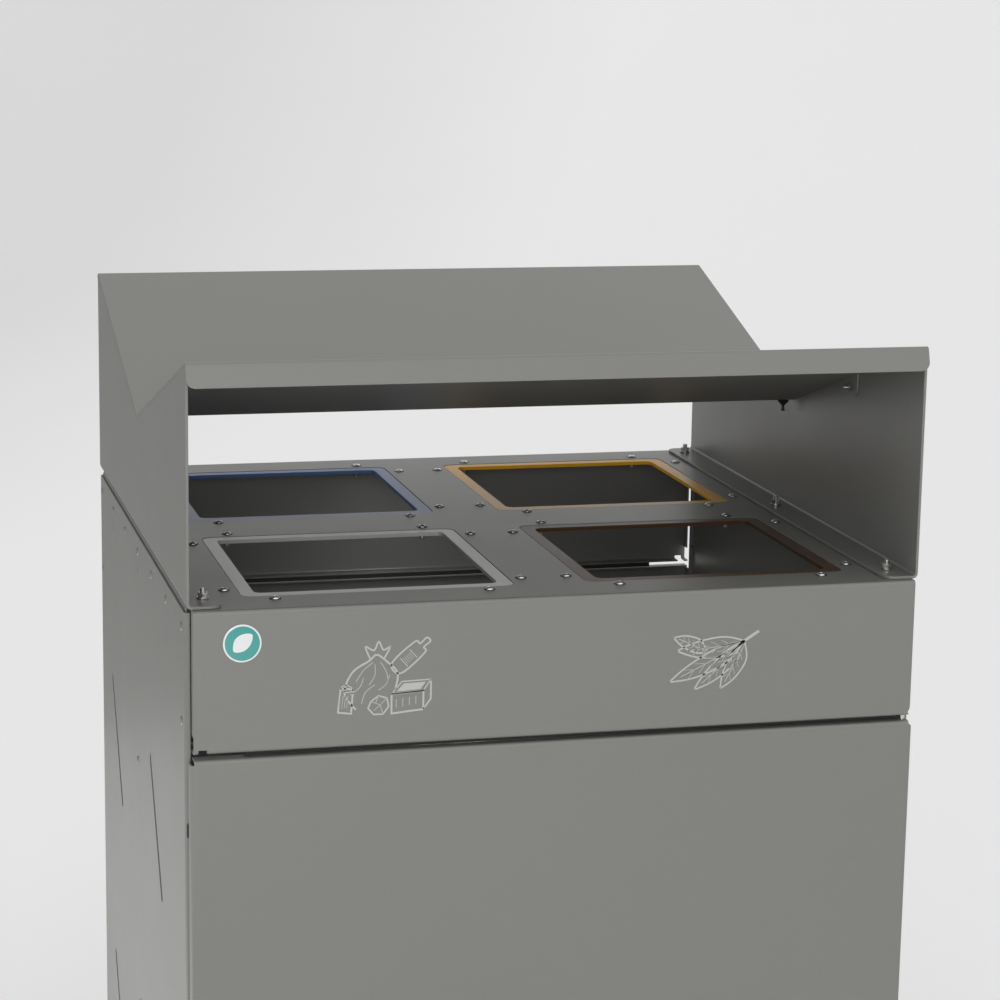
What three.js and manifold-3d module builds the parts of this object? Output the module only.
// Four-way recycling bin station: a square powder-coated steel cabinet with four throw-in
// openings in its deck, a butterfly canopy on two side plates, a door at the front and at the
// rear, and four galvanised liners with bail handles.
// Millimetres, +Z up, front towards -Y, origin on the floor under the middle of the cabinet.
import * as THREE from 'three';
import { mergeVertices } from 'three/addons/utils/BufferGeometryUtils.js';
import Module from 'manifold-3d';

const wasm = await Module();
wasm.setup();

// ---- driving dimensions ------------------------------------------------------------------
const CANOPY_WIDTH = 800;       // over the outer faces of the canopy plates
const DEPTH = 800;              // front fascia to rear fascia
const DECK_Z = 1000;            // top of the deck
const SHEET = 2;                // cabinet sheet
const GAP = 0.4;                // between pieces that touch
const BEND = 3;                 // mid-line bend radius of cabinet sheet

const FRONT = DEPTH / 2;                    // outer face of the fascias and doors, from the middle
const COVER_HALF = 394.5;                   // half width of the fascias and plinths
const SIDE_OUTER = CANOPY_WIDTH / 2 + 1;    // outer face of the side panels
const SIDE_SETBACK = 20;                    // side panel returns lie this far behind the fascias
const SIDE_RETURN_END = 394.5;              // inner end of the side panel returns
const SIDE_BOTTOM = 30;
const SIDE_TOP = DECK_Z - 5.5;

const FASCIA_HEIGHT = 152;
const FASCIA_LIP = 16;          // inward return along the bottom of a fascia
const FASCIA_TAB = 14;          // side return at the ends of a fascia
const FASCIA_TAB_GAP = 18;      // from a fascia's lower edge up to its side returns
const FASCIA_CORNER = 11;       // rounded corner that leaves the top hinge pin in view
const FASCIA_NOTCH = { from: 5, to: 14, height: 5 };    // relief notch near the other lower corner
const SKIRT_HEIGHT = 45;        // side skirts of the deck, inside the side panels
const PAN_TOP = 58;             // top of the floor pan
const PLINTH_HEIGHT = PAN_TOP - SIDE_BOTTOM;

const OPENING_X = 187;          // centres of the four openings
const OPENING_Y = 194;
const CUTOUT = 296;             // square cut-out in the deck
const CUTOUT_RADIUS = 13;
const FRAME_INNER = 264;        // throw-in opening of an insert frame
const FRAME_OUTER = 343;        // flange under the deck, wide enough for the screws
const FRAME_FLANGE = 2.5;

const PLATE = 3;                // canopy plates
const PLATE_BEND = 4;
const PLATE_HALF_DEPTH = 392;
const FLANGE_WIDTH = 38;
const FLANGE_CORNER = 14;
const FLANGE_BOLT_X = 378;
const FLANGE_BOLT_YS = { front: -356, middle: 2, rear: 360 };
const FLANGE_BOLT_HOLE = 3.6;   // radius
const ROOF = 2.5;
const ROOF_FRONT_Z = DECK_Z + 256;
const ROOF_REAR_Z = DECK_Z + 252.6;
const VALLEY_Y = 8;
const VALLEY_Z = DECK_Z + 134.7;
const FRONT_LIP = 26;
const REAR_LIP = 15;
const ROOF_TAB_YS = { front: -188, rear: 204 };
const ROOF_TAB_WIDTH = 36;
const ROOF_TAB_DROP = 24;
const ROOF_TAB_CHAMFER = 6;
const ROOF_TAB_BOLT = 9;        // bolt axis above a tab's lower edge
const LIP_CORNER = 10;          // rounded ends of the roof's lips
const VALLEY_RIVET_INSET = 15;  // from the roof's side edge

const SIDE_SCREW_Z = DECK_Z - 24;           // screws that hold the side panels to the skirts
const SIDE_SCREW_YS = { front: -360, middle: 0, rear: 360 };
const SIDE_SCREW_RADIUS = 2;
const SIDE_SCREW_HEAD = 1.4;                // height of the head
const VENT_RUN = [-90, -135];               // from the top end of a vent slot to its bottom end
const VENT_TOPS = [[268, 755], [-98, 758], [268, 390], [-98, 393]];
const VENT_RADIUS = 6;
const HOOK_SLOT_YS = [240, 0];
const HOOK_SLOT = { top: 34, bottom: 48, radius: 1.6 };     // depths below the deck

const DOOR_HALF = 398;
const DOOR_DEPTH = 16;
const DOOR_BOTTOM = PAN_TOP + 6;
const DOOR_TOP = DECK_Z - FASCIA_HEIGHT - 6;
const PIN_X = 389;              // hinge axis, from the middle
const PIN_Y = 391;
const PIN_RADIUS = 3;
const PIN_CLEARANCE = 0.3;

const LOCK_X = 360;
const LOCK_Z = 470;
const BARREL_RADIUS = 9;
const CAM_LENGTH = 27;
const CAM_THICKNESS = 3;
const CAM_Y = FRONT - 31;       // inner side of the cam, from the middle

const PARTITION_TOP = DECK_Z - 255;
const LINER_X = 196;
const LINER_Y = 191;
const LINER_WIDTH = 352;
const LINER_DEPTH = 330;
const LINER_TOP = DECK_Z - 250;
const LINER_WALL = 1.5;
const LINER_RADIUS = 18;
const RIM = 5;
const RIM_HEIGHT = 9;
const BAIL_RADIUS = 4;
const BAIL_Z = LINER_TOP - 16;
const BAIL_REACH = 140;
const BAIL_BEND = 16;
const BAIL_STUB = 3;            // how far the ends of a bail stand out of the liner
const GUIDE_HALF = 5;           // liner guides, half width at mid-line
const GUIDE_HEIGHT = 42;
const PARTITION_FLANGE = 24;
const LAP = 0.3;                // overlap of lengths joined into one bar

const FOOT_AT = 340;
const FOOT_STEM = 6;            // radius

// ---- colours -----------------------------------------------------------------------------
const GREY = { color: 0x7c7c76, roughness: 0.45, metalness: 0.35 };
const STEEL = { color: 0xb9b9b4, roughness: 0.3, metalness: 0.9 };
const ZINC = { color: 0xa3a8aa, roughness: 0.4, metalness: 0.8 };
const RUBBER = { color: 0x1c1c1c, roughness: 0.8, metalness: 0 };
const FRAME_COLOURS = {
  front_left: { color: 0x9b9b97, roughness: 0.4, metalness: 0.3 },
  front_right: { color: 0x4a3226, roughness: 0.35, metalness: 0.1 },
  rear_left: { color: 0x5a6c9c, roughness: 0.4, metalness: 0.1 },
  rear_right: { color: 0xd9961e, roughness: 0.35, metalness: 0.1 },
};

// ---- solids ------------------------------------------------------------------------------
function toSolid(geometry) {
  const bare = geometry.clone();
  bare.deleteAttribute('normal');
  bare.deleteAttribute('uv');
  const merged = mergeVertices(bare, 1e-4);
  return new wasm.Manifold(new wasm.Mesh({
    numProp: 3,
    vertProperties: new Float32Array(merged.attributes.position.array),
    triVerts: new Uint32Array(merged.index.array),
  }));
}

function toGeometry(manifold) {
  const mesh = manifold.getMesh();
  const geometry = new THREE.BufferGeometry();
  geometry.setAttribute('position', new THREE.BufferAttribute(new Float32Array(mesh.vertProperties), 3));
  geometry.setIndex(new THREE.BufferAttribute(new Uint32Array(mesh.triVerts), 1));
  const flat = geometry.toNonIndexed();
  flat.computeVertexNormals();
  return flat;
}

function join(...solids) {
  return solids.reduce((all, one) => all.add(one));
}

function cut(body, ...tools) {
  return tools.reduce((all, one) => all.subtract(one), body);
}

const AXES = {
  x: [new THREE.Vector3(0, 1, 0), new THREE.Vector3(0, 0, 1), new THREE.Vector3(1, 0, 0)],
  y: [new THREE.Vector3(0, 0, 1), new THREE.Vector3(1, 0, 0), new THREE.Vector3(0, 1, 0)],
  z: [new THREE.Vector3(1, 0, 0), new THREE.Vector3(0, 1, 0), new THREE.Vector3(0, 0, 1)],
};

// A shape swept along an axis. Its two coordinates are (Y, Z) along x, (Z, X) along y, (X, Y) along z.
function swept(axis, shape, from, to, curveSegments = 6) {
  const geometry = new THREE.ExtrudeGeometry(shape, { depth: to - from, bevelEnabled: false, curveSegments });
  geometry.translate(0, 0, from);
  geometry.applyMatrix4(new THREE.Matrix4().makeBasis(...AXES[axis]));
  return toSolid(geometry);
}

function box(x0, x1, y0, y1, z0, z1) {
  const geometry = new THREE.BoxGeometry(x1 - x0, y1 - y0, z1 - z0);
  geometry.translate((x0 + x1) / 2, (y0 + y1) / 2, (z0 + z1) / 2);
  return toSolid(geometry);
}

// A round bar along an axis, centred on the two other coordinates in X, Y, Z order.
function rod(axis, radius, a, b, from, to, sides = 14) {
  const centre = { x: [a, b], y: [b, a], z: [a, b] }[axis];
  const shape = new THREE.Shape();
  shape.absarc(centre[0], centre[1], radius, 0, Math.PI * 2);
  return swept(axis, shape, from, to, sides / 2);
}

// A turned piece on a vertical axis, from its profile of radius and height.
function turned(profile, x, y, z, sides = 14) {
  const lathe = new THREE.LatheGeometry(profile.map(([r, h]) => new THREE.Vector2(r, h)), sides);
  lathe.rotateX(Math.PI / 2);
  lathe.translate(x, y, z);
  return toSolid(lathe);
}

function hexagon(axis, radius, a, b, from, to) {
  return rod(axis, radius, a, b, from, to, 12);
}

function roundedRectangle(halfWidth, halfHeight, radius, cx = 0, cy = 0) {
  const shape = new THREE.Shape();
  const [w, h] = [halfWidth - radius, halfHeight - radius];
  shape.absarc(cx + w, cy + h, radius, 0, Math.PI / 2);
  shape.absarc(cx - w, cy + h, radius, Math.PI / 2, Math.PI);
  shape.absarc(cx - w, cy - h, radius, Math.PI, Math.PI * 1.5);
  shape.absarc(cx + w, cy - h, radius, Math.PI * 1.5, Math.PI * 2);
  return shape;
}

// The outline of a bent sheet, from the corners of its mid-line.
function sheetProfile(corners, thickness, bendRadius, steps = 3) {
  const points = corners.map(([x, y]) => new THREE.Vector2(x, y));
  const line = [];
  const put = (point, direction) => line.push([point, new THREE.Vector2(-direction.y, direction.x)]);
  put(points[0], points[1].clone().sub(points[0]).normalize());
  for (let i = 1; i < points.length - 1; i++) {
    const before = points[i].clone().sub(points[i - 1]).normalize();
    const after = points[i + 1].clone().sub(points[i]).normalize();
    const turn = Math.atan2(before.cross(after), before.dot(after));
    const reach = bendRadius * Math.tan(Math.abs(turn) / 2);
    const start = points[i].clone().addScaledVector(before, -reach);
    const side = Math.sign(turn);
    const inward = new THREE.Vector2(-before.y, before.x).multiplyScalar(bendRadius * side);
    const centre = start.clone().add(inward);
    for (let k = 0; k <= steps; k++) {
      const angle = (turn * k) / steps;
      const direction = before.clone().rotateAround(new THREE.Vector2(), angle);
      const point = start.clone().rotateAround(centre, angle);
      put(point, direction);
    }
  }
  const last = points.length - 1;
  put(points[last], points[last].clone().sub(points[last - 1]).normalize());
  const left = line.map(([point, normal]) => point.clone().addScaledVector(normal, thickness / 2));
  const right = line.map(([point, normal]) => point.clone().addScaledVector(normal, -thickness / 2));
  return new THREE.Shape([...right, ...left.reverse()]);
}

function halfTurn(manifold) {
  return manifold.rotate([0, 0, 180]);
}

function mirrored(manifold) {
  return manifold.mirror([1, 0, 0]);
}

// ---- deck and floor ----------------------------------------------------------------------
// A sheet folded down at the front, rear and sides, with returns along the front and rear edges.
function foldedTray(topZ, frontHeight, sideHeight) {
  const mid = SHEET / 2;
  const face = FRONT - mid;
  const lipEnd = FRONT - FASCIA_LIP;
  const bottom = topZ - frontHeight + mid;
  const frontToRear = sheetProfile([[-lipEnd, bottom], [-face, bottom], [-face, topZ - mid],
    [face, topZ - mid], [face, bottom], [lipEnd, bottom]], SHEET, BEND);
  const sideX = SIDE_OUTER - SHEET - 0.5 - mid;
  const skirtBottom = topZ - sideHeight;
  const sideToSide = sheetProfile([[skirtBottom, -sideX], [topZ - mid, -sideX],
    [topZ - mid, sideX], [skirtBottom, sideX]], SHEET, BEND);
  const sideEnd = FRONT - SIDE_SETBACK - SHEET - 4;
  return join(swept('x', frontToRear, -COVER_HALF, COVER_HALF), swept('y', sideToSide, -sideEnd, sideEnd));
}

// Side return at the right end of the front fascia.
function fasciaTab() {
  return box(COVER_HALF - SHEET, COVER_HALF, -FRONT + 1, -FRONT + FASCIA_TAB,
    DECK_Z - FASCIA_HEIGHT + FASCIA_TAB_GAP, DECK_Z - 1);
}

// Rounded lower right corner of the front fascia, which leaves the hinge pin in view.
function fasciaCorner() {
  const radius = FASCIA_CORNER;
  const bottom = DECK_Z - FASCIA_HEIGHT;
  const shape = new THREE.Shape();
  shape.moveTo(bottom - 1, COVER_HALF + 1);
  shape.lineTo(bottom - 1, COVER_HALF - radius);
  shape.lineTo(bottom, COVER_HALF - radius);
  shape.absarc(bottom + radius, COVER_HALF - radius, radius, Math.PI, Math.PI / 2, true);
  shape.lineTo(bottom + radius, COVER_HALF + 1);
  return swept('y', shape, -FRONT - 1, -FRONT + SHEET + 1.2);
}

// Relief notch near the lower left corner of the front fascia.
function fasciaNotch() {
  const bottom = DECK_Z - FASCIA_HEIGHT;
  return box(-COVER_HALF + FASCIA_NOTCH.from, -COVER_HALF + FASCIA_NOTCH.to,
    -FRONT - 1, -FRONT + FASCIA_LIP + 1, bottom - 1, bottom + FASCIA_NOTCH.height);
}

// Cutters for the holes of the flange bolts on one side.
function flangeBoltHoles(side) {
  return Object.values(FLANGE_BOLT_YS)
    .map((y) => rod('z', FLANGE_BOLT_HOLE, side * FLANGE_BOLT_X, y, DECK_Z - 10, DECK_Z + 10, 10));
}

// Cutters for the holes of the side screws on one side.
function sideScrewHoles(side) {
  const [from, to] = [side * (SIDE_OUTER - 10), side * (SIDE_OUTER + 5)];
  return Object.values(SIDE_SCREW_YS).map((y) => rod('x', SIDE_SCREW_RADIUS + GAP, y, SIDE_SCREW_Z,
    Math.min(from, to), Math.max(from, to), 10));
}

function pinHole(z) {
  return rod('z', PIN_RADIUS + PIN_CLEARANCE, PIN_X, -PIN_Y, z - 4, z + 4);
}

function deckCover() {
  const tabs = [fasciaTab(), mirrored(fasciaTab())];
  const tools = [fasciaCorner(), fasciaNotch(), pinHole(DECK_Z - FASCIA_HEIGHT + 1)];
  const body = join(foldedTray(DECK_Z, FASCIA_HEIGHT, SKIRT_HEIGHT), ...tabs, ...tabs.map(halfTurn));
  const openings = [];
  for (const x of [-OPENING_X, OPENING_X]) {
    for (const y of [-OPENING_Y, OPENING_Y]) {
      const outline = roundedRectangle(CUTOUT / 2, CUTOUT / 2, CUTOUT_RADIUS, x, y);
      openings.push(swept('z', outline, DECK_Z - 10, DECK_Z + 10, 4));
    }
  }
  return cut(body, ...tools, ...tools.map(halfTurn), ...openings,
    ...flangeBoltHoles(-1), ...flangeBoltHoles(1), ...sideScrewHoles(-1), ...sideScrewHoles(1));
}

function floorPan() {
  const pins = [pinHole(PAN_TOP - 1)];
  const feet = [];
  for (const x of [-FOOT_AT, FOOT_AT]) {
    for (const y of [-FOOT_AT, FOOT_AT]) {
      feet.push(rod('z', FOOT_STEM + 0.6, x, y, PAN_TOP - 10, PAN_TOP + 10, 10));
    }
  }
  return cut(foldedTray(PAN_TOP, PLINTH_HEIGHT, PLINTH_HEIGHT - 4), ...pins, ...pins.map(halfTurn), ...feet);
}

// Stepped ring: its band lies flush in the cut-out and its flange lies under the deck.
function insertFrame(x, y) {
  const flangeTop = DECK_Z - SHEET - GAP;
  const bandHalf = CUTOUT / 2 - 0.8;
  const flange = roundedRectangle(FRAME_OUTER / 2, FRAME_OUTER / 2, 16, x, y);
  const band = roundedRectangle(bandHalf, bandHalf, CUTOUT_RADIUS - 0.8, x, y);
  const inner = roundedRectangle(FRAME_INNER / 2, FRAME_INNER / 2, 9, x, y);
  return cut(
    join(swept('z', flange, flangeTop - FRAME_FLANGE, flangeTop, 2),
      swept('z', band, flangeTop - 1, DECK_Z - GAP, 4)),
    swept('z', inner, DECK_Z - 20, DECK_Z + 5, 4));
}

// ---- side panels -------------------------------------------------------------------------
// A slanted slot in the (Y, Z) plane, from its top end to its bottom end.
function slot(top, bottom, radius) {
  const along = new THREE.Vector2(...bottom).sub(new THREE.Vector2(...top));
  const angle = Math.atan2(along.y, along.x);
  const shape = new THREE.Shape();
  shape.absarc(top[0], top[1], radius, angle + Math.PI / 2, angle + Math.PI * 1.5);
  shape.absarc(bottom[0], bottom[1], radius, angle - Math.PI / 2, angle + Math.PI / 2);
  return swept('x', shape, -SIDE_OUTER - 5, -SIDE_OUTER + 5, 5);
}

function ventSlots() {
  return VENT_TOPS.map(([y, z]) => slot([y, z], [y + VENT_RUN[0], z + VENT_RUN[1]], VENT_RADIUS));
}

function hookSlots() {
  return HOOK_SLOT_YS
    .map((y) => slot([y, DECK_Z - HOOK_SLOT.top], [y, DECK_Z - HOOK_SLOT.bottom], HOOK_SLOT.radius));
}

function sidePanel() {
  const mid = SHEET / 2;
  const x = -SIDE_OUTER + mid;
  const y = FRONT - SIDE_SETBACK - mid;
  const outline = sheetProfile([[-SIDE_RETURN_END, y], [x, y], [x, -y], [-SIDE_RETURN_END, -y]],
    SHEET, BEND + 1, 4);
  return cut(swept('z', outline, SIDE_BOTTOM, SIDE_TOP),
    ...ventSlots(), ...hookSlots(), ...sideScrewHoles(-1));
}

// Dome-head screw through a side panel and the deck's skirt.
function sideScrew(side, y) {
  const seat = SIDE_OUTER + 0.1;
  const head = [[0, 0], [4.7, 0], [4.7, 0.5], [3.6, 1.1], [1.8, SIDE_SCREW_HEAD], [0, SIDE_SCREW_HEAD]];
  const lathe = new THREE.LatheGeometry(head.map(([r, h]) => new THREE.Vector2(r, h)), 12);
  lathe.rotateZ(-Math.PI / 2);
  lathe.translate(seat, y, SIDE_SCREW_Z);
  const screw = join(toSolid(lathe),
    rod('x', SIDE_SCREW_RADIUS, y, SIDE_SCREW_Z, seat - 12, seat + 0.3, 10));
  return side < 0 ? mirrored(screw) : screw;
}

// ---- inside of the cabinet ---------------------------------------------------------------
function partition() {
  const x = SIDE_OUTER - SHEET - GAP - SHEET / 2;
  const outline = sheetProfile([[-x, PARTITION_FLANGE], [-x, 0], [x, 0], [x, PARTITION_FLANGE]],
    SHEET, BEND);
  return swept('z', outline, PAN_TOP + GAP, PARTITION_TOP);
}

function linerGuide() {
  const [bottom, top] = [PAN_TOP + GAP, PAN_TOP + GUIDE_HEIGHT];
  const outline = sheetProfile([[bottom, -GUIDE_HALF], [top, -GUIDE_HALF], [top, GUIDE_HALF],
    [bottom, GUIDE_HALF]], SHEET, BEND);
  return swept('y', outline, -FRONT + 30, -10);
}

function liner(x, y) {
  const [w, d, r] = [LINER_WIDTH / 2, LINER_DEPTH / 2, LINER_RADIUS];
  const bottom = PAN_TOP + GAP;
  const inner = roundedRectangle(w - LINER_WALL, d - LINER_WALL, r - LINER_WALL, x, y);
  const body = join(
    swept('z', roundedRectangle(w, d, r, x, y), bottom, LINER_TOP, 4),
    swept('z', roundedRectangle(w + RIM, d + RIM, r + RIM, x, y), LINER_TOP - RIM_HEIGHT, LINER_TOP, 4));
  return cut(body, swept('z', inner, bottom + LINER_WALL, LINER_TOP + 1, 4),
    rod('x', BAIL_RADIUS + 0.5, y, BAIL_Z, x - w - 10, x + w + 10, 10));
}

// A round bar along a curve.
function barAlong(curve, steps) {
  const section = new THREE.Shape();
  section.absarc(0, 0, BAIL_RADIUS, 0, Math.PI * 2);
  return toSolid(new THREE.ExtrudeGeometry(section, { extrudePath: curve, steps, curveSegments: 5 }));
}

// Bail handle: a bent bar whose ends turn outwards through the liner's walls.
function bail(x, y) {
  const arm = LINER_WIDTH / 2 - LINER_WALL - BAIL_RADIUS - 2;
  const front = y - BAIL_REACH;
  const at = (px, py) => new THREE.Vector3(px, py, BAIL_Z);
  const corner = (sx) => barAlong(new THREE.QuadraticBezierCurve3(at(x + sx * arm, front + BAIL_BEND),
    at(x + sx * arm, front), at(x + sx * (arm - BAIL_BEND), front)), 5);
  const upright = (sx) => barAlong(new THREE.LineCurve3(at(x + sx * arm, y),
    at(x + sx * arm, front + BAIL_BEND - LAP)), 1);
  const crossbar = barAlong(new THREE.LineCurve3(at(x - arm + BAIL_BEND - LAP, front),
    at(x + arm - BAIL_BEND + LAP, front)), 1);
  const stub = LINER_WIDTH / 2 + BAIL_STUB;
  const pivot = rod('x', BAIL_RADIUS, y, BAIL_Z, x - stub, x - arm + 1, 10);
  const otherPivot = rod('x', BAIL_RADIUS, y, BAIL_Z, x + arm - 1, x + stub, 10);
  return join(crossbar, corner(-1), corner(1), upright(-1), upright(1), pivot, otherPivot);
}

function foot(x, y) {
  const profile = [[0, 0], [24, 0], [25, 2], [25, 7], [12, 13], [FOOT_STEM, 15],
    [FOOT_STEM, PAN_TOP], [0, PAN_TOP]];
  return join(turned(profile, x, y, 0, 18), hexagon('z', 11, x, y, PAN_TOP - 12, PAN_TOP - SHEET - GAP));
}

// ---- doors, hinges and locks (front set; the rear set is the same, turned half round) ------
function doorPan() {
  const outer = doorBlock(0);
  const inner = doorBlock(SHEET);
  const relief = [
    box(DOOR_HALF - 4, DOOR_HALF + 1, -FRONT - 1, -FRONT + DOOR_DEPTH + 1, DOOR_TOP - 6, DOOR_TOP + 1),
    box(-DOOR_HALF - 1, -DOOR_HALF + 4, -FRONT - 1, -FRONT + DOOR_DEPTH + 1, DOOR_TOP - 5, DOOR_TOP + 1),
  ];
  return cut(outer, inner, ...relief, pinHole(DOOR_TOP - 1), pinHole(DOOR_BOTTOM + 1),
    rod('y', BARREL_RADIUS + GAP, -LOCK_X, LOCK_Z, -FRONT - 1, -FRONT + 5));
}

// Block with rounded front edges, inset on five sides and open towards the back.
function doorBlock(inset) {
  const radius = BEND + 1 - inset;
  const half = DOOR_HALF - inset;
  const front = -FRONT + inset;
  const back = -FRONT + DOOR_DEPTH + inset;
  const [bottom, top] = [DOOR_BOTTOM + inset, DOOR_TOP - inset];
  const plan = roundedRectangle(half, (back - front) / 2 + 10, radius, 0, (back + front) / 2 + 10);
  const side = roundedRectangle((back - front) / 2 + 10, (top - bottom) / 2, radius,
    (back + front) / 2 + 10, (top + bottom) / 2);
  return swept('z', plan, bottom, top, 4)
    .intersect(swept('x', side, -half, half, 4))
    .intersect(box(-half, half, front, back, bottom, top));
}

function topPin() {
  const lip = DECK_Z - FASCIA_HEIGHT + SHEET + GAP;
  const profile = [[0, -26], [2, -26], [PIN_RADIUS, -25], [PIN_RADIUS, 0], [5.5, 0], [5.5, 3], [0, 3]];
  return turned(profile, PIN_X, -PIN_Y, lip);
}

function bottomPin() {
  const gap = DOOR_BOTTOM - PAN_TOP;
  const profile = [[0, -10], [2, -10], [PIN_RADIUS, -9], [PIN_RADIUS, GAP], [5.5, GAP],
    [5.5, gap - GAP], [PIN_RADIUS, gap - GAP], [PIN_RADIUS, gap + 16], [2, gap + 17], [0, gap + 17]];
  return turned(profile, PIN_X, -PIN_Y, PAN_TOP);
}

// Lock barrel with a three-sided key socket.
function lockBarrel() {
  const socket = rod('y', 4.6, -LOCK_X, LOCK_Z, -FRONT - 3, -FRONT + 6, 6);
  return cut(join(rod('y', 12.5, -LOCK_X, LOCK_Z, -FRONT - 2.2, -FRONT - GAP, 24),
    rod('y', BARREL_RADIUS, -LOCK_X, LOCK_Z, -FRONT - 1, -CAM_Y - CAM_THICKNESS - GAP, 16)), socket);
}

function lockCam() {
  const shape = new THREE.Shape();
  shape.absarc(LOCK_Z, -LOCK_X, 9, Math.PI / 2, Math.PI * 1.5);
  shape.absarc(LOCK_Z + CAM_LENGTH, -LOCK_X, 6, -Math.PI / 2, Math.PI / 2);
  return join(swept('y', shape, -CAM_Y - CAM_THICKNESS, -CAM_Y, 6),
    hexagon('y', 6, -LOCK_X, LOCK_Z, -CAM_Y - 1, -CAM_Y + 3.5));
}

function lockKeeper() {
  const x = -SIDE_OUTER + SHEET + GAP + SHEET / 2;
  const y = -CAM_Y - CAM_THICKNESS - 3.5;
  const outline = sheetProfile([[x, y + 24], [x, y], [x + 14, y]], SHEET, BEND);
  return swept('z', outline, LOCK_Z - 30, LOCK_Z + 30);
}

function doorBuffer(z) {
  const outline = roundedRectangle(2.5, 8, 2.2, -SIDE_RETURN_END - 2.6, z);
  const front = -FRONT + DOOR_DEPTH + GAP;
  const shape = new THREE.Shape(outline.getPoints(4).map((p) => new THREE.Vector2(p.y, p.x)).reverse());
  return swept('y', shape, front, -FRONT + SIDE_SETBACK - GAP);
}

// ---- canopy ------------------------------------------------------------------------------
const FRONT_SLOPE = Math.atan2(ROOF_FRONT_Z - VALLEY_Z, PLATE_HALF_DEPTH + VALLEY_Y);
const REAR_SLOPE = Math.atan2(ROOF_REAR_Z - VALLEY_Z, PLATE_HALF_DEPTH - VALLEY_Y);

// Height of the roof's top face above the floor.
function roofZ(y) {
  const slope = y < VALLEY_Y ? Math.tan(FRONT_SLOPE) : Math.tan(REAR_SLOPE);
  return VALLEY_Z + Math.abs(y - VALLEY_Y) * slope;
}

function canopyRoof() {
  const drop = ROOF / 2 / Math.cos(FRONT_SLOPE);
  const [front, rear] = [-PLATE_HALF_DEPTH, PLATE_HALF_DEPTH];
  const frontFold = [front, roofZ(front) - drop];
  const rearFold = [rear, roofZ(rear) - drop];
  const frontEnd = [front - FRONT_LIP * Math.sin(FRONT_SLOPE),
    frontFold[1] - FRONT_LIP * Math.cos(FRONT_SLOPE)];
  const rearEnd = [rear + REAR_LIP * Math.sin(REAR_SLOPE), rearFold[1] - REAR_LIP * Math.cos(REAR_SLOPE)];
  const outline = sheetProfile([frontEnd, frontFold, [VALLEY_Y, VALLEY_Z - drop], rearFold, rearEnd],
    ROOF, BEND);
  const half = CANOPY_WIDTH / 2;
  const parts = [swept('x', outline, -half, half)];
  for (const y of Object.values(ROOF_TAB_YS)) {
    parts.push(roofTab(y), mirrored(roofTab(y)));
  }
  const corners = [lipCorner(1, -1, FRONT_LIP), lipCorner(-1, -1, FRONT_LIP),
    lipCorner(1, 1, REAR_LIP), lipCorner(-1, 1, REAR_LIP)];
  return cut(join(...parts), ...corners);
}

// Tab under the roof beside the right-hand plate.
function roofTab(y) {
  const outer = CANOPY_WIDTH / 2 - PLATE - GAP;
  const w = ROOF_TAB_WIDTH / 2;
  const bottom = roofZ(y) - ROOF_TAB_DROP;
  const shape = new THREE.Shape();
  shape.moveTo(y - w, roofZ(y - w) - 1.2);
  shape.lineTo(y - w, bottom + ROOF_TAB_CHAMFER);
  shape.lineTo(y - w + ROOF_TAB_CHAMFER, bottom);
  shape.lineTo(y + w - ROOF_TAB_CHAMFER, bottom);
  shape.lineTo(y + w, bottom + ROOF_TAB_CHAMFER);
  shape.lineTo(y + w, roofZ(y + w) - 1.2);
  return cut(swept('x', shape, outer - SHEET, outer), rod('x', 3, y, tabBoltZ(y), outer - 5, outer + 5, 10));
}

function tabBoltZ(y) {
  return roofZ(y) - ROOF_TAB_DROP + ROOF_TAB_BOLT;
}

// Cutter that rounds a lower corner of the front (end = -1) or rear (end = 1) lip.
function lipCorner(side, end, lip) {
  const radius = LIP_CORNER;
  const slope = end < 0 ? FRONT_SLOPE : REAR_SLOPE;
  const corner = new THREE.Shape();
  corner.moveTo(0, radius);
  corner.absarc(0, 0, radius, Math.PI / 2, 0, true);
  corner.lineTo(radius + 4, 0);
  corner.lineTo(radius + 4, radius + 4);
  corner.lineTo(0, radius + 4);
  const geometry = new THREE.ExtrudeGeometry(corner, { depth: 30, bevelEnabled: false, curveSegments: 5 });
  const down = new THREE.Vector3(0, end * Math.sin(slope), -Math.cos(slope));
  const across = new THREE.Vector3(side, 0, 0);
  const through = new THREE.Vector3().crossVectors(across, down);
  const foldZ = roofZ(end * PLATE_HALF_DEPTH) - ROOF / 2 / Math.cos(slope);
  const place = new THREE.Matrix4().makeBasis(across, down, through);
  place.setPosition(new THREE.Vector3(side * (CANOPY_WIDTH / 2 - radius), end * PLATE_HALF_DEPTH, foldZ)
    .addScaledVector(down, lip - radius).addScaledVector(through, -15));
  geometry.applyMatrix4(place);
  return toSolid(geometry);
}

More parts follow.
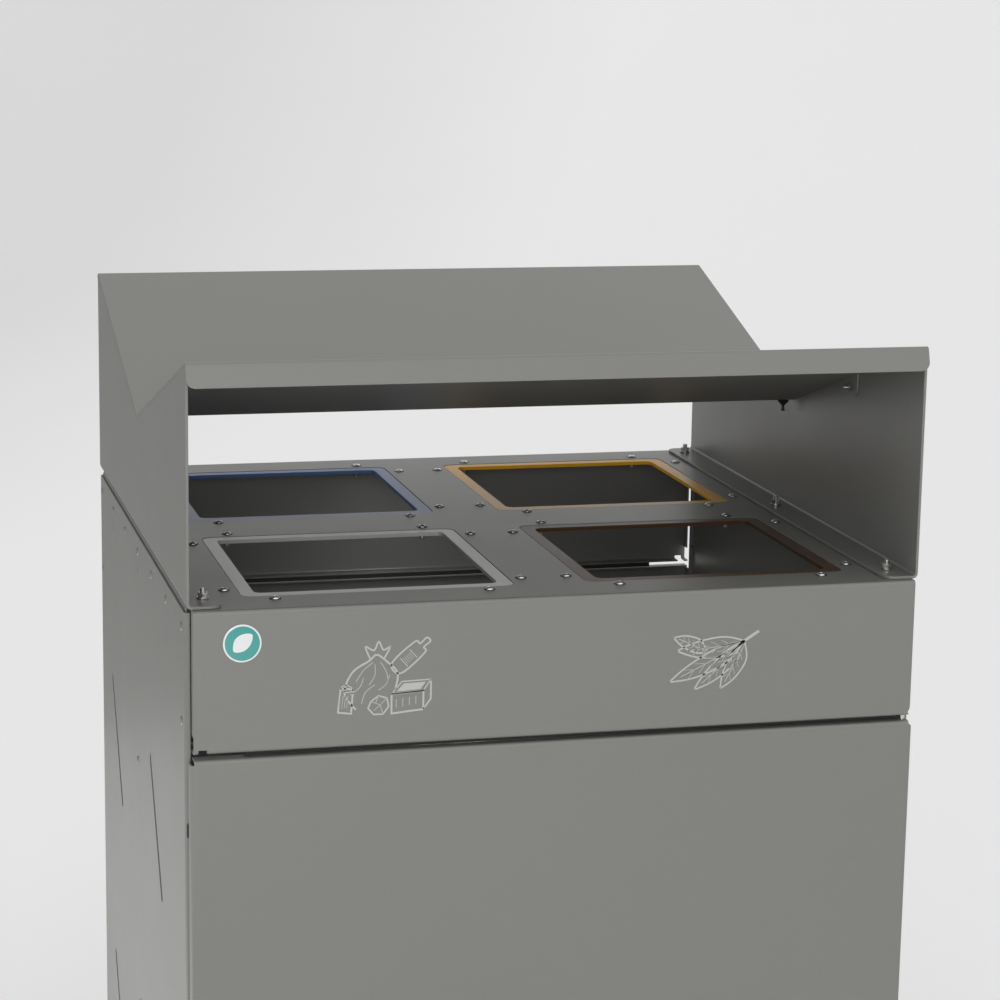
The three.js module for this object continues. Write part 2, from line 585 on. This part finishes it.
// Right-hand canopy plate: an upright sheet under the roof with a foot flange turned inwards.
function canopyPlate() {
  const half = CANOPY_WIDTH / 2;
  const x = half - PLATE / 2;
  const bottom = DECK_Z + GAP + PLATE / 2;
  const angle = sheetProfile([[bottom, half - FLANGE_WIDTH], [bottom, x], [ROOF_FRONT_Z, x]],
    PLATE, PLATE_BEND);
  const under = ROOF / Math.cos(FRONT_SLOPE) + GAP;
  const upright = new THREE.Shape();
  const d = PLATE_HALF_DEPTH;
  upright.moveTo(-d, DECK_Z);
  upright.lineTo(d, DECK_Z);
  upright.lineTo(d, roofZ(d) - under - 3);
  upright.lineTo(d - 4, roofZ(d - 4) - under);
  upright.lineTo(VALLEY_Y, VALLEY_Z - under);
  upright.lineTo(-d + 4, roofZ(-d + 4) - under);
  upright.lineTo(-d, roofZ(-d) - under - 3);
  return cut(swept('y', angle, -d, d).intersect(swept('x', upright, half - 60, half + 10)),
    flangeCorner(1), flangeCorner(-1), ...flangeBoltHoles(1));
}

// Cutter that rounds a free corner of the right-hand foot flange.
function flangeCorner(end) {
  const r = FLANGE_CORNER;
  const x = CANOPY_WIDTH / 2 - FLANGE_WIDTH;
  const y = end * PLATE_HALF_DEPTH;
  const square = box(x - 1, x + r, Math.min(y - end * r, y + end), Math.max(y - end * r, y + end),
    DECK_Z - 1, DECK_Z + 10);
  return cut(square, rod('z', r, x + r, y - end * r, DECK_Z - 2, DECK_Z + 11, 24));
}

// Welded stud, washer and nut on the canopy's foot flange.
function flangeBolt(x, y) {
  const seat = DECK_Z + GAP + PLATE + GAP;
  return join(rod('z', 3, x, y, DECK_Z - 14, seat + 11, 10),
    rod('z', 6.5, x, y, seat, seat + 1.6),
    hexagon('z', 5.8, x, y, seat + 1, seat + 6.6),
    rod('z', 6.5, x, y, DECK_Z - SHEET - GAP - 1.6, DECK_Z - SHEET - GAP));
}

function roofBolt(side, y) {
  const face = CANOPY_WIDTH / 2 - PLATE - GAP;
  const z = tabBoltZ(y);
  const body = join(rod('x', 2.5, y, z, face - 12, face + GAP / 4, 10),
    hexagon('x', 4.9, y, z, face - SHEET - GAP - 4, face - SHEET - GAP));
  return side < 0 ? mirrored(body) : body;
}

// Expansion rivet hanging from the valley beside each plate.
function valleyRivet(side) {
  const profile = [[0, -13], [2.6, -13], [2.6, -11], [1.3, -10.4], [1.3, -6], [7, -1], [7, 0], [0, 0]];
  const under = ROOF / Math.cos(FRONT_SLOPE) + GAP;
  return turned(profile, side * (CANOPY_WIDTH / 2 - VALLEY_RIVET_INSET), VALLEY_Y, VALLEY_Z - under);
}

// ---- assembly ----------------------------------------------------------------------------
const station = new THREE.Group();
station.name = 'recycling_station';

function place(name, manifold, look) {
  const mesh = new THREE.Mesh(toGeometry(manifold), new THREE.MeshStandardMaterial(look));
  mesh.name = name;
  station.add(mesh);
}

function placeCabinet() {
  place('deck_cover', deckCover(), GREY);
  place('floor_pan', floorPan(), GREY);
  place('side_panel_left', sidePanel(), GREY);
  place('side_panel_right', mirrored(sidePanel()), GREY);
  for (const [column, side] of [['left', -1], ['right', 1]]) {
    for (const [where, y] of Object.entries(SIDE_SCREW_YS)) {
      place(`side_screw_${column}_${where}`, sideScrew(side, y), STEEL);
    }
  }
  place('partition', partition(), GREY);
  place('liner_guide_front', linerGuide(), ZINC);
  place('liner_guide_rear', halfTurn(linerGuide()), ZINC);
}

function placeQuarters() {
  for (const [row, sy] of [['front', -1], ['rear', 1]]) {
    for (const [column, sx] of [['left', -1], ['right', 1]]) {
      const key = `${row}_${column}`;
      place(`insert_frame_${key}`, insertFrame(sx * OPENING_X, sy * OPENING_Y), FRAME_COLOURS[key]);
      place(`liner_${key}`, liner(sx * LINER_X, sy * LINER_Y), ZINC);
      place(`liner_handle_${key}`, bail(sx * LINER_X, sy * LINER_Y), STEEL);
      place(`levelling_foot_${key}`, foot(sx * FOOT_AT, sy * FOOT_AT), RUBBER);
    }
  }
}

function placeDoor(row, turn) {
  const put = (name, manifold, look) => place(`${row}_${name}`, turn(manifold), look);
  put('door', doorPan(), GREY);
  put('hinge_pin_top', topPin(), STEEL);
  put('hinge_pin_bottom', bottomPin(), STEEL);
  put('lock_barrel', lockBarrel(), STEEL);
  put('lock_cam', lockCam(), ZINC);
  put('lock_keeper', lockKeeper(), ZINC);
  put('door_buffer_top', doorBuffer(DOOR_TOP - 80), RUBBER);
  put('door_buffer_bottom', doorBuffer(DOOR_BOTTOM + 80), RUBBER);
}

function placeCanopy() {
  place('canopy_plate_left', mirrored(canopyPlate()), GREY);
  place('canopy_plate_right', canopyPlate(), GREY);
  place('canopy_roof', canopyRoof(), GREY);
  for (const [column, side] of [['left', -1], ['right', 1]]) {
    for (const [where, y] of Object.entries(FLANGE_BOLT_YS)) {
      place(`flange_bolt_${column}_${where}`, flangeBolt(side * FLANGE_BOLT_X, y), STEEL);
    }
    for (const [where, y] of Object.entries(ROOF_TAB_YS)) {
      place(`roof_bolt_${column}_${where}`, roofBolt(side, y), STEEL);
    }
    place(`valley_rivet_${column}`, valleyRivet(side), RUBBER);
  }
}

placeCabinet();
placeQuarters();
placeDoor('front', (manifold) => manifold);
placeDoor('rear', halfTurn);
placeCanopy();

export default station;
